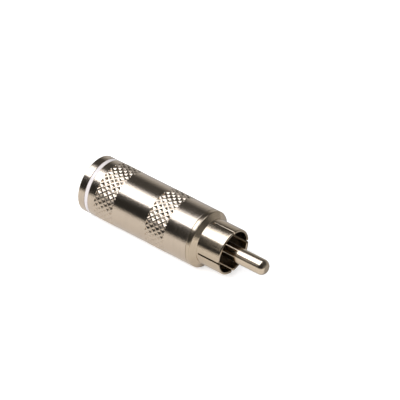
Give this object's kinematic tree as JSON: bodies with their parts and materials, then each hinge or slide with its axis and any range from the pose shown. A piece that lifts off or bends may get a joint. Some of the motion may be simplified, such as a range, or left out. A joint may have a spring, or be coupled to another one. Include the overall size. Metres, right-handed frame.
{
  "type": "rca connector",
  "caption": "Cable-mount phono plug with a knurled barrel that unscrews, a color ring, a slotted skirt contact and a centre pin with a rounded nose.",
  "frame": {"origin": "centre of the shell's rear face, on the plug's axis", "axes": "+Z along the axis, from the rear face to the tip of the pin; the skirt's slots lie at +X, -X, +Y and -Y"},
  "size_m": [0.012, 0.012, 0.043],
  "materials": {
    "nickel_shell": "bright nickel plate",
    "white_plastic": "satin",
    "nickel_body": "bright nickel plate",
    "nickel_pin": "bright nickel plate",
    "black_plastic": "moulded",
    "black_washer": "moulded",
    "tinned_tag": "tin plate",
    "sleeve_plastic": "smooth"
  },
  "bodies": {
    "shell": {"shell": "nickel_shell", "color_ring": "white_plastic"},
    "sleeve": {"insulating_sleeve": "sleeve_plastic"},
    "core": {"plug_body": "nickel_body", "front_insulator": "black_plastic", "rear_insulator": "black_washer", "centre_pin": "nickel_pin", "ground_tag": "tinned_tag"}
  },
  "joints": [
    {"name": "core_advance", "type": "slide", "parent": "shell", "child": "sleeve", "axis": [0, 0, 1], "range_m": [0, 0.00375]},
    {"name": "core_turn", "type": "hinge", "parent": "sleeve", "child": "core", "pos_m": [0, 0, 0.02765], "axis": [0, 0, 1], "range_deg": [0, 1800]}
  ],
  "couplings": [
    {"joint": "core_turn", "follows": "core_advance", "rad_per_m": 8377.5}
  ]
}
